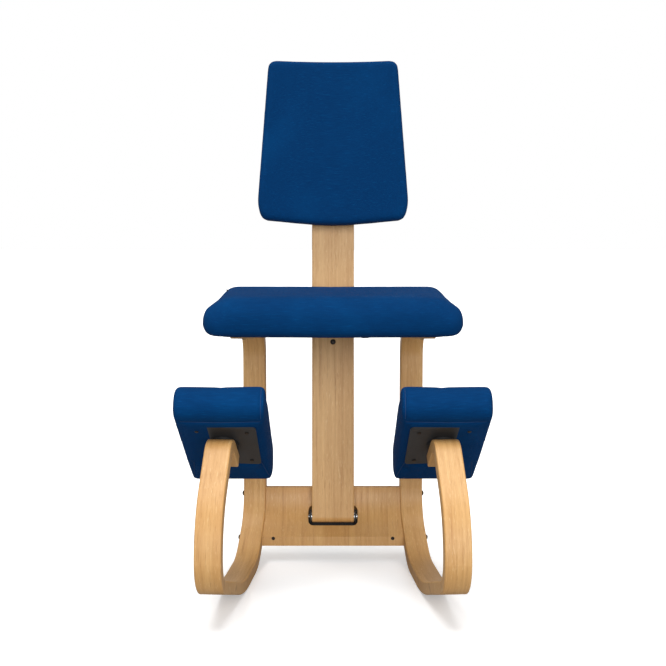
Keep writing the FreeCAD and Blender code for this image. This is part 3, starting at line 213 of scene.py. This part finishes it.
def oak(name, across, darker, shift=0.0):
    look, graph = oakLook, finish(name)
    place = graph.place()
    side = graph.along(place, across)
    deep = graph.along(place, (0, 1, 0))
    up = graph.along(place, (0, 0, 1))

    def grain(kind, offset=0.0):    # the offset keeps one layer's pattern off another's
        length = look[kind + "Length"]
        return graph.join(side / look[kind + "Width"] + (shift + offset), deep / length, up / length)

    bands = graph.noise(grain("band"), 1.0, 2.0)
    streaks = graph.noise(grain("streak", 7), 1.0, 4.0, 0.6)
    pores = graph.noise(grain("pore", 3), 1.0, 2.0).ramp(*look["poreFrom"])
    flecks = graph.noise(grain("fleck", 11), 1.0, 2.0).ramp(*look["fleckFrom"])
    honey = (bands * look["mottle"] + streaks * look["mottle"] + darker).ramp(*look["honeyFrom"])
    tone = graph.blend(honey, look["pale"], look["honey"])
    tone = graph.blend(streaks.ramp(*look["streakFrom"]) * look["streakShare"], tone, look["streak"])
    tone = graph.blend(pores * look["poreShare"], tone, look["streak"])
    tone = graph.blend(flecks * look["fleckShare"], tone, look["fleck"])
    return graph.surface(
        Base_Color=tone, Roughness=look["roughness"] + streaks * look["roughSpread"],
        Normal=graph.bump(streaks * look["streakHeight"] - pores, look["poreDepth"]),
        Coat_Weight=look["coat"], Coat_Roughness=look["coatRoughness"])


leftAcross = (math.cos(splayAngle), -math.sin(splayAngle), 0)
rightAcross = (math.cos(splayAngle), math.sin(splayAngle), 0)
dress(["left_runner"], oak("oakLeftRunner", leftAcross, darker=0.08))
dress(["right_runner"], oak("oakRightRunner", rightAcross, darker=0.08, shift=40.0))
dress(["bridge_panel"], oak("oakPanel", (1, 0, 0), darker=0.1, shift=80.0))
dress(["stem"], oak("oakStem", (1, 0, 0), darker=0.02, shift=120.0))
print("oak done")

# plain birch boards behind the cushions
birchLook = {
    "face": colour(214, 190, 150),
    "figure": colour(186, 154, 108),
    "figureFrom": (0.35, 0.7),
    "width": 0.012,
    "length": 0.2,
    "roughness": 0.6,
    "roughSpread": 0.15,
    "depth": 0.0001,
}


def birch():
    look, graph = birchLook, finish("birch")
    place = graph.place()
    side, deep, up = [graph.along(place, axis) for axis in ((1, 0, 0), (0, 1, 0), (0, 0, 1))]
    vein = graph.noise(graph.join(side / look["width"], deep / look["length"], up / look["length"]), 1.0)
    return graph.surface(
        Base_Color=graph.blend(vein.ramp(*look["figureFrom"]), look["face"], look["figure"]),
        Roughness=look["roughness"] + vein * look["roughSpread"], Normal=graph.bump(vein, look["depth"]))


dress(["seat_board", "back_board", "left_pad_board", "right_pad_board"], birch())
print("birch done")

# metals and plastics, each with a little unevenness
metalLooks = {
    "powderBlack": {"tone": colour(44, 44, 45), "spread": 0.35, "rough": 0.55, "metal": 0.0,
                    "grain": 0.0009, "depth": 0.00006},
    "darkBronze": {"tone": colour(48, 43, 38), "spread": 0.4, "rough": 0.38, "metal": 0.7,
                   "grain": 0.002, "depth": 0.00002},
    "zinc": {"tone": colour(186, 188, 190), "spread": 0.15, "rough": 0.3, "metal": 1.0,
             "grain": 0.0015, "depth": 0.00001},
    "knobPlastic": {"tone": colour(36, 36, 37), "spread": 0.25, "rough": 0.5, "metal": 0.0,
                    "grain": 0.0006, "depth": 0.00005},
    "nylon": {"tone": colour(26, 26, 27), "spread": 0.3, "rough": 0.6, "metal": 0.0,
              "grain": 0.001, "depth": 0.00004},
    "tape": {"tone": colour(24, 24, 26), "spread": 0.4, "rough": 0.8, "metal": 0.0,
             "grain": 0.0006, "depth": 0.0001},
}
metalNodes = {
    "powderBlack": ["foot_bracket", "stem_saddle", "seat_fork", "back_carrier",
                    "left_pad_plate", "right_pad_plate"],
    "darkBronze": ["foot_screws", "pivot_clip", "panel_bolts", "cross_dowels", "saddle_bolts",
                   "fork_screws", "arm_bolts", "carrier_screws", "height_bolt",
                   "left_plate_screws", "right_plate_screws", "left_pad_bolt", "right_pad_bolt"],
    "zinc": ["pivot_pin", "pivot_washers", "saddle_nuts", "clamp_rod", "clamp_washers", "clamp_nut",
             "tee_nuts", "arm_washers", "height_washer", "left_pad_washer", "right_pad_washer",
             "left_pad_nut", "right_pad_nut"],
    "knobPlastic": ["tilt_knob", "height_knob"],
    "nylon": ["left_swivel_disc", "right_swivel_disc"],
    "tape": ["side_tab"],
}
patchLook = {"scale": 14.0, "share": 0.6, "roughSpread": 0.16}     # wide patches on every fitting


def coated(name, look):
    graph = finish(name)
    place = graph.place()
    fine = graph.noise(place, 1 / look["grain"], 2.0)
    patches = graph.noise(place, patchLook["scale"])
    light = tuple(min(1.0, part * (1 + look["spread"])) for part in look["tone"][:3]) + (1.0,)
    dark = tuple(part * (1 - look["spread"]) for part in look["tone"][:3]) + (1.0,)
    share = patches * patchLook["share"] + fine * (1 - patchLook["share"])
    return graph.surface(
        Base_Color=graph.blend(share, dark, light), Metallic=look["metal"],
        Roughness=look["rough"] + (patches - 0.5) * patchLook["roughSpread"],
        Normal=graph.bump(fine, look["depth"]))


for metal, look in metalLooks.items():
    dress(metalNodes[metal], coated(metal, look))
print("fittings done")

# blue woven upholstery, darker between the threads, with slubs across
weaveLook = {
    "light": colour(0, 84, 146),
    "blue": colour(0, 61, 115),
    "shade": colour(0, 42, 84),
    "thread": 0.0018,               # metres between threads
    "slubLength": 0.02,
    "slubWidth": 0.0012,
    "wobbleScale": 60.0,            # threads wander off straight
    "wobble": 0.9,
    "cloudScale": 9.0,              # slow change of tone over a cushion
    "threadShare": 0.55,
    "blueFrom": (0.2, 0.85),
    "slubFrom": (0.6, 0.8),
    "slubLight": 0.45,
    "cloudFrom": (0.45, 0.8),
    "cloudLight": 0.15,
    "roughness": 0.86,
    "roughSpread": 0.1,
    "slubHeight": 0.8,
    "depth": 0.0004,
    "specular": 0.06,
}


def weave(name, across, down):
    look, graph = weaveLook, finish(name)
    place = graph.place()
    turn = math.tau / look["thread"]
    warp, weft = graph.along(place, across), graph.along(place, down)
    away = graph.along(place, tuple(Vector(across).cross(Vector(down))))
    wobble = graph.noise(place, look["wobbleScale"], 2.0) * look["wobble"]
    threads = (warp * turn + wobble).sine() * (weft * turn + wobble).sine() * 0.5 + 0.5
    slubs = graph.noise(graph.join(warp / look["slubLength"], weft / look["slubWidth"],
                                   away / look["slubWidth"]), 1.0, 2.0)
    clouds = graph.noise(place, look["cloudScale"])
    woven = threads * look["threadShare"] + slubs * (1 - look["threadShare"])
    tone = graph.blend(woven.ramp(*look["blueFrom"]), look["shade"], look["blue"])
    tone = graph.blend(slubs.ramp(*look["slubFrom"]) * look["slubLight"], tone, look["light"])
    tone = graph.blend(clouds.ramp(*look["cloudFrom"]) * look["cloudLight"], tone, look["light"])
    return graph.surface(
        Base_Color=tone, Roughness=look["roughness"] - slubs * look["roughSpread"],
        Specular_IOR_Level=look["specular"],
        Normal=graph.bump(threads + slubs * look["slubHeight"], look["depth"]))


# knee pads: side profile with a full front roll, drawn across between two flat side panels
padLook = {
    "spot": (0.2105, -0.1578, 0.3217),          # right pad's swivel, mirrored for the left
    "lean": Vector((0, 0.8192, -0.5718)),       # down the slope, towards the sitter
    "normal": Vector((0, 0.5718, 0.8192)),
    "front": -0.114, "rear": 0.186, "low": 0.0094, "high": 0.085,
    "rounds": {"frontLow": 0.024, "rearLow": 0.007, "rearHigh": 0.034, "frontHigh": 0.04},
    "roundSteps": 8,
    "edge": 0.009,                              # rounding of the side seams
    "edgeAngles": (0, 22, 45, 68, 90),
    "middle": (-0.6, -0.2, 0.2, 0.6),           # cross sections between the seams
    "innerFront": 0.084, "innerRear": 0.088,
    "outerRoll": 0.091, "outerFront": 0.076, "outerRear": 0.080,
    "rollEnd": (-0.078, -0.056),
}
padSpot = {side: Vector((hand * padLook["spot"][0], *padLook["spot"][1:])) for side, hand in hands.items()}


def padPoint(side, across, back, up):
    # a place on a pad from its swivel: outwards, down the slope and off its board
    outward = Vector((hands[side] * across, 0, 0))
    return padSpot[side] + outward + padLook["lean"] * back + padLook["normal"] * up


def padProfile(inset):
    # closed side outline as (back, up) points, drawn in by the inset
    points = []
    corners = [("rear", "Low"), ("rear", "High"), ("front", "High"), ("front", "Low")]
    for quarter, (end, level) in enumerate(corners):
        radius = padLook["rounds"][end + level]
        back = padLook[end] - math.copysign(radius, padLook[end])
        up = padLook[level.lower()] + (radius if level == "Low" else -radius)
        for step in range(padLook["roundSteps"] + 1):
            angle = math.radians(90 * (quarter - 1 + step / padLook["roundSteps"]))
            reach = radius - inset
            points.append((back + reach * math.cos(angle), up + reach * math.sin(angle)))
    return points


def padWidths(back):
    # half widths of the inner and the outer side: the outer one is fullest in the front roll
    look = padLook
    along = (back - look["front"]) / (look["rear"] - look["front"])
    inner = partWay(look["innerFront"], look["innerRear"], along)
    outer = partWay(look["outerFront"], look["outerRear"], along)
    start, end = look["rollEnd"]
    fade = min(max((back - start) / (end - start), 0), 1)
    return inner, partWay(look["outerRoll"], outer, fade * fade * (3 - 2 * fade))


def ringFaces(rings, ring):
    # quads between rings of points, with the two end rings closed
    faces = []
    for number in range(rings - 1):
        for step in range(ring):
            following = (step + 1) % ring
            faces.append((number * ring + step, number * ring + following,
                          (number + 1) * ring + following, (number + 1) * ring + step))
    faces.append(tuple(range(ring))[::-1])
    faces.append(tuple(range((rings - 1) * ring, rings * ring)))
    return faces


def padSkin(side):
    edge = padLook["edge"]
    angles = [math.radians(angle) for angle in padLook["edgeAngles"]]
    stations = [(-1, angle) for angle in angles]
    stations += [(share, None) for share in padLook["middle"]]
    stations += [(1, angle) for angle in angles[::-1]]
    points = []
    for share, angle in stations:
        inset = 0.0 if angle is None else edge * (1 - math.sin(angle))
        for back, up in padProfile(inset):
            inner, outer = padWidths(back)
            if angle is None:
                across = (inner + outer) / 2 * share + (outer - inner) / 2
            else:
                half = inner if share < 0 else outer
                across = share * (half - edge * (1 - math.cos(angle)))
            points.append(padPoint(side, across, back, up))
    faces = ringFaces(len(stations), len(padProfile(0.0)))
    if side == "right":
        faces = [face[::-1] for face in faces]
    return newMesh(side + "PadSkin", points, faces)


# seat: front outline with sloping shoulders, drawn rearward with rolled ends
seatLook = {
    "height": 0.080, "hem": -0.005, "length": 0.346, "narrowing": 0.011,
    "slope": math.radians(1.8),
    "place": (0, 0.2576, 0.538),
    "datum": 0.350,                 # from the front edge to that place
    "topRoll": 0.048, "lowRoll": 0.02, "planRoll": 0.036,
    "half": 0.2605,
    # right half of the front outline, as shares of half width and height
    "outline": [(0.0, 0.0), (0.4, 0.0), (0.8, 0.0), (0.9, 0.0), (0.935, 0.02), (0.965, 0.07),
                (0.988, 0.16), (1.0, 0.31), (0.998, 0.45), (0.992, 0.57), (0.979, 0.67), (0.95, 0.75),
                (0.914, 0.82), (0.88, 0.885), (0.845, 0.94), (0.80, 0.98), (0.74, 1.0), (0.0, 1.0)],
    "shoulder": 0.6,                # share of the height where the shoulders start
    "rearFill": 0.45,               # how much squarer the shoulders are at the rear
    "endSteps": [0.0, 0.001, 0.003, 0.006, 0.010, 0.016, 0.024, 0.034, 0.048],
    "midSteps": 12,
}


def roll(depth, radius):
    # how far a rolled end has drawn in at this depth from its tip
    if depth >= radius:
        return 0.0
    return radius * (1 - math.sqrt(1 - (1 - depth / radius) ** 2))


def seatSkin():
    look, length = seatLook, seatLook["length"]
    right = look["outline"]
    outline = right + [(-across, up) for across, up in right[-2:0:-1]]
    tip = look["endSteps"][-1]
    depths = look["endSteps"] + [tip + (length - 2 * tip) * step / look["midSteps"]
                                 for step in range(1, look["midSteps"])]
    depths += [length - depth for depth in look["endSteps"][::-1]]
    points = []
    for depth in depths:
        end = min(depth, length - depth)
        low = look["hem"] + roll(end, look["lowRoll"])
        high = look["hem"] + look["height"] - roll(end, look["topRoll"])
        half = look["half"] - roll(end, look["planRoll"]) - look["narrowing"] * depth / length
        for across, up in outline:
            fill = (1 - abs(across)) * look["rearFill"] * depth / length if up > look["shoulder"] else 0.0
            wide = (across + math.copysign(fill, across)) * half if across else 0.0
            points.append(Vector((wide, depth - look["datum"], partWay(low, high, up))))
    place = Matrix.Translation(look["place"]) @ Matrix.Rotation(look["slope"], 4, "X")
    return newMesh("seatSkin", [place @ point for point in points], ringFaces(len(depths), len(outline)))


# each cushion is its skin made even, blown up a little over the board that it is stapled to (all but the
# back one, whose cap is nought), then softened and stretched back to its box
cushionWork = {
    "seat_cushion": {"body": "frame", "board": "seat_board", "grid": 0.006, "cap": 0.003, "fill": 0.85},
    "back_cushion": {"body": "backrest", "board": "back_board", "grid": 0.005, "cap": 0.0, "fill": 0.9},
    "left_pad_cushion": {"body": "left_pad", "board": "left_pad_board", "grid": 0.0045,
                         "cap": 0.003, "fill": 0.85},
    "right_pad_cushion": {"body": "right_pad", "board": "right_pad_board", "grid": 0.0045,
                          "cap": 0.003, "fill": 0.85},
}
clothLook = {
    "frames": 20,
    "quality": 5,
    "pressure": 4.0,
    "stiffness": 18.0,
    "bending": 0.8,
    "mass": 0.25,
    "hold": 0.006,                  # stapled within this distance of the board
    "softening": 2,
}


def settle(target):
    # keeps what the modifiers make
    graph = bpy.context.evaluated_depsgraph_get()
    mesh = bpy.data.meshes.new_from_object(target.evaluated_get(graph))
    target.modifiers.clear()
    target.data = mesh


def treeOf(mesh):
    return BVHTree.FromPolygons([vertex.co.copy() for vertex in mesh.vertices],
                                [tuple(face.vertices) for face in mesh.polygons])


def inflate(target, board, cap):
    boardTree = treeOf(board.data)
    held = [vertex.index for vertex in target.data.vertices
            if boardTree.find_nearest(vertex.co)[3] < clothLook["hold"]]
    group = target.vertex_groups.new(name="held")
    group.add(held, 1.0, "REPLACE")
    cloth = target.modifiers.new("cloth", "CLOTH")
    options = cloth.settings
    options.quality = clothLook["quality"]
    options.mass = clothLook["mass"]
    options.tension_stiffness = clothLook["stiffness"]
    options.compression_stiffness = clothLook["stiffness"]
    options.shear_stiffness = clothLook["stiffness"]
    options.bending_stiffness = clothLook["bending"]
    options.use_pressure = True
    options.uniform_pressure_force = clothLook["pressure"]
    options.vertex_group_mass = "held"
    options.effector_weights.gravity = 0
    cloth.point_cache.frame_end = clothLook["frames"]
    before = [vertex.co.copy() for vertex in target.data.vertices]
    for number in range(1, clothLook["frames"] + 1):
        scene.frame_set(number)
    settle(target)
    for vertex, start in zip(target.data.vertices, before):
        move = vertex.co - start
        if move.length > cap:
            vertex.co = start + move.normalized() * cap
    target.vertex_groups.clear()
    scene.frame_set(1)


def meshBox(mesh):
    spots = [vertex.co for vertex in mesh.vertices]
    low = Vector([min(spot[axis] for spot in spots) for axis in range(3)])
    high = Vector([max(spot[axis] for spot in spots) for axis in range(3)])
    return low, high


def fitBox(mesh, low, high):
    # stretches the mesh back to a box
    bottom, top = meshBox(mesh)
    for vertex in mesh.vertices:
        shares = [(vertex.co[axis] - bottom[axis]) / (top[axis] - bottom[axis]) for axis in range(3)]
        vertex.co = [partWay(low[axis], high[axis], shares[axis]) for axis in range(3)]


def plump(name, work, material, skin=None):
    mesh = skin or nodes[name].data.copy()
    low, high = meshBox(mesh)
    soft = newObject(name + "_cover", mesh)
    even = soft.modifiers.new("even", "REMESH")
    even.mode = "VOXEL"
    even.voxel_size = work["grid"]
    settle(soft)
    if work["cap"]:
        inflate(soft, nodes[work["board"]], work["cap"])
    soften = soft.modifiers.new("soften", "SMOOTH")
    soften.iterations = clothLook["softening"]
    divide = soft.modifiers.new("divide", "SUBSURF")
    divide.levels = divide.render_levels = 1
    settle(soft)
    fitBox(soft.data, low, high)
    soft.data.materials.clear()
    soft.data.materials.append(material)
    soft.data.polygons.foreach_set("use_smooth", [True] * len(soft.data.polygons))
    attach(soft, work["body"])
    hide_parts(name)
    print(name, "cover has", len(soft.data.vertices), "points")
    return soft


fabrics = {
    "seat_cushion": weave("fabricSeat", (1, 0, 0), (0, 0.707, 0.707)),
    "back_cushion": weave("fabricBack", (1, 0, 0), (0, 0, 1)),
    "left_pad_cushion": weave("fabricLeftPad", (1, 0, 0), tuple(padLook["lean"])),
    "right_pad_cushion": weave("fabricRightPad", (1, 0, 0), tuple(padLook["lean"])),
}
for name, fabric in fabrics.items():
    dress([name], fabric)
skins = {side + "_pad_cushion": padSkin(side) for side in hands}
skins["seat_cushion"] = seatSkin()
covers = {name: plump(name, work, fabrics[name], skins.get(name)) for name, work in cushionWork.items()}

# seams: a groove pressed into the cover with the stitched edge lying in it
seamLook = {
    "depth": 0.0018,
    "spread": 0.0035,               # half width of the groove
    "reach": 3,                     # how many spreads out the cover still moves
    "sunk": 0.8,                    # share of the depth at which the thread lies
    "cord": 0.0007,
    "steps": 60,
    "fewest": 4,
    "tone": colour(4, 60, 118),
    "twistScale": 900.0,
    "twistDepth": 0.0002,
    "roughness": 0.8,
    "roughSpread": 0.1,
    "under": -0.3,                  # rays start this far under the pad
    "ahead": -0.6,                  # and this far ahead of the chair
    "frontUpright": (0.385, 0.438),
}
# each runs on the pad's underside, as (outwards, down the slope)
padSeams = {
    "frontEdge": [(-0.074, -0.083), (0.078, -0.083)],
    "innerMitre": [(-0.067, 0.094), (-0.081, 0.176)],
    "outerMitre": [(0.067, 0.094), (0.074, 0.176)],
}


def stitching():
    look, graph = seamLook, finish("seamThread")
    twist = graph.noise(graph.place(), look["twistScale"], 2.0)
    return graph.surface(
        Base_Color=graph.blend(twist, look["tone"], weaveLook["shade"]),
        Roughness=look["roughness"] + twist * look["roughSpread"],
        Normal=graph.bump(twist, look["twistDepth"]))


def between(corners, steps):
    # even steps along a path of corners
    pieces = len(corners) - 1
    for step in range(steps + 1):
        reach = step / steps * pieces
        number = min(int(reach), pieces - 1)
        yield corners[number].lerp(corners[number + 1], reach - number)


def groove(cover, hits):
    near = KDTree(len(hits))
    for number, spot in enumerate(hits):
        near.insert(spot, number)
    near.balance()
    for vertex in cover.data.vertices:
        gap = near.find(vertex.co)[2]
        if gap < seamLook["spread"] * seamLook["reach"]:
            sink = seamLook["depth"] * math.exp(-(gap / seamLook["spread"]) ** 2)
            vertex.co = vertex.co - vertex.normal * sink


def seam(cover, name, corners, towards, material):
    tree = treeOf(cover.data)
    hits = [tree.ray_cast(start, towards)[0] for start in between(corners, seamLook["steps"])]
    hits = [spot for spot in hits if spot]
    if len(hits) < seamLook["fewest"]:
        print(name, "misses its cover")
        return
    groove(cover, hits)
    curve = bpy.data.curves.new(name, "CURVE")
    curve.dimensions = "3D"
    curve.bevel_depth = seamLook["cord"]
    curve.bevel_resolution = 2
    line = curve.splines.new("POLY")
    line.points.add(len(hits) - 1)
    for point, spot in zip(line.points, hits):
        point.co = (*(spot + towards * seamLook["depth"] * seamLook["sunk"]), 1.0)
    cord = newObject(name, curve)
    mesh = bpy.data.meshes.new_from_object(cord.evaluated_get(bpy.context.evaluated_depsgraph_get()))
    bpy.data.objects.remove(cord)
    mesh.materials.clear()
    mesh.materials.append(material)
    newObject(name, mesh).parent = cover


thread = stitching()
for side, hand in hands.items():
    cover = covers[side + "_pad_cushion"]
    for name, path in padSeams.items():
        corners = [padPoint(side, across, back, seamLook["under"]) for across, back in path]
        seam(cover, side + "_" + name, corners, padLook["normal"], thread)
    inner = hand * (padLook["spot"][0] - padLook["innerFront"] + padLook["edge"])
    corners = [Vector((inner, seamLook["ahead"], height)) for height in seamLook["frontUpright"]]
    seam(cover, side + "_frontUpright", corners, Vector((0, 1, 0)), thread)
print("seams done")

# pale floor and soft studio light
stageLook = {
    "floor": colour(250, 250, 250),
    "floorHalf": 30,
    "lift": 0.32,                   # the floor's own glow, for the camera alone
    "bounce": 0.35,                 # how pale the floor is to the light
    "around": 0.48,
    "suns": {
        "overhead": {"strength": 2.3, "spread": 45, "tilt": 12, "turn": -20},
        "frontFill": {"strength": 2.0, "spread": 40, "tilt": 80, "turn": 6},
    },
}
half = stageLook["floorHalf"]
floorMesh = newMesh("floor", [(-half, -half, 0), (half, -half, 0), (half, half, 0), (-half, half, 0)],
                    [(0, 1, 2, 3)])
floor = newObject("floor", floorMesh)
floorGraph = finish("floor")
floorMesh.materials.append(floorGraph.surface(
    Base_Color=stageLook["floor"], Roughness=1.0, Specular_IOR_Level=0.0,
    Emission_Color=white, Emission_Strength=stageLook["lift"]))
dull = floorGraph.add("ShaderNodeBsdfDiffuse", None, {"Color": (*[stageLook["bounce"]] * 3, 1.0)})
floorGraph.split(dull, Wire(floorGraph, floorGraph.shader.outputs[0]))


def sunlight(name, strength, spread, tilt, turn):
    lamp = bpy.data.lights.new(name, "SUN")
    lamp.energy = strength
    lamp.angle = math.radians(spread)
    holder = newObject(name, lamp)
    holder.rotation_euler = (math.radians(tilt), 0, math.radians(turn))


for name, sun in stageLook["suns"].items():
    sunlight(name, **sun)

scene.world = bpy.data.worlds.new("studio")
worldGraph = Graph(scene.world, "Background")
worldGraph.surface(Color=white, Strength=stageLook["around"])
backdrop = worldGraph.add("ShaderNodeBackground", None, {"Color": white})
worldGraph.split(Wire(worldGraph, worldGraph.shader.outputs[0]), backdrop)

cameraLook = {"lens": 70.27, "place": (0, -2.640, 0.7561), "dip": 4.968}
lens = bpy.data.cameras.new("camera")
lens.lens = cameraLook["lens"]
camera = newObject("camera", lens)
camera.location = cameraLook["place"]
camera.rotation_euler = (math.radians(90 - cameraLook["dip"]), 0, 0)
scene.camera = camera
scene.view_settings.view_transform = "Standard"
print("stage done")
